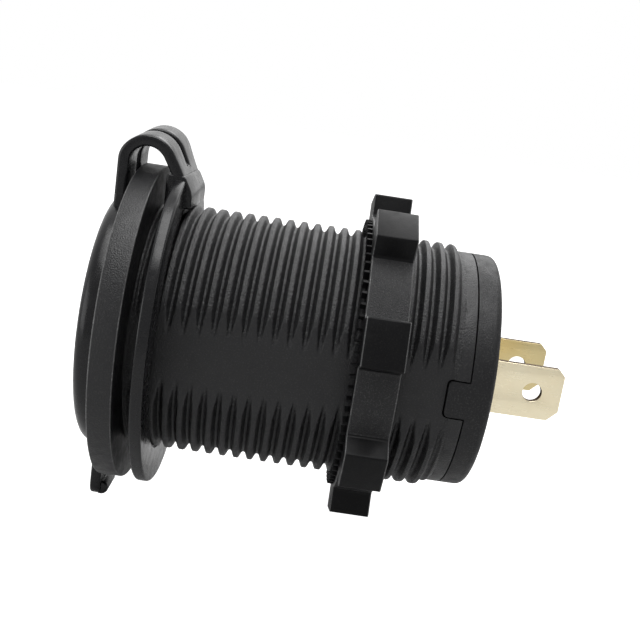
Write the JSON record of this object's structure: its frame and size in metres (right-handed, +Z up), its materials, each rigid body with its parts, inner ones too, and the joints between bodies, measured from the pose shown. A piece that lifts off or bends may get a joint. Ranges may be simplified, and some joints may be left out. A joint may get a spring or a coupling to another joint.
{
  "type": "usb charging socket",
  "caption": "Panel-mount charging socket: threaded round barrel with flange, lobed nut, hinged dust cap, blade terminals behind and usb ports in its front recess.",
  "frame": {"origin": "on the barrel's axis, at the flange's rear face", "axes": "+Y along the barrel from the capped front to the terminals, +Z up through the cap's strap, +X across the two blades"},
  "size_m": [0.0376, 0.0546, 0.0448],
  "materials": {
    "black_plastic": "black nylon, spark-eroded matt grain",
    "soft_black": "black flexible moulding, satin",
    "blade_brass": "pale brass strip, stamped",
    "board_green": "solder-masked laminate",
    "shell_steel": "nickel-plated folded strip",
    "tongue_plastic": "white moulded insulator",
    "contact_gold": "gold-flashed strip",
    "ferrite": "dark sintered ferrite",
    "copper_wire": "enamelled copper winding",
    "capacitor_can": "drawn aluminium can",
    "chip_black": "moulded epoxy",
    "lamp_lens": "tinted lamp lens",
    "clear_window": "clear moulded light pipe"
  },
  "bodies": {
    "socket": {"barrel_housing": "black_plastic", "rear_cover": "black_plastic", "front_bezel": "black_plastic", "cap_ring": "soft_black", "cap_strap": "soft_black", "blade_positive": "blade_brass", "blade_negative": "blade_brass", "main_board": "board_green", "terminal_board": "board_green", "usb_shell_upper": "shell_steel", "usb_shell_lower": "shell_steel", "usb_tongue_upper": "tongue_plastic", "usb_tongue_lower": "tongue_plastic", "usb_contacts_upper": "contact_gold", "usb_contacts_lower": "contact_gold", "inductor_core": "ferrite", "inductor_coil": "copper_wire", "input_capacitor": "capacitor_can", "output_capacitor": "capacitor_can", "controller_chip": "chip_black", "rectifier_diode": "chip_black", "chip_resistors": "chip_black", "indicator_led": "lamp_lens", "indicator_window": "clear_window"},
    "cap": {"cap_lid": "soft_black"},
    "nut": {"mounting_nut": "black_plastic"}
  },
  "joints": [
    {"name": "cap_hinge", "type": "hinge", "parent": "socket", "child": "cap", "pos_m": [0, -0.0013, 0.0226], "axis": [-1, 0, 0], "range_deg": [0, 150], "deforming": ["cap_strap"]},
    {"name": "nut_travel", "type": "slide", "parent": "socket", "child": "nut", "axis": [0, 1, 0], "range_m": [-0.0194, 0.0062]}
  ]
}
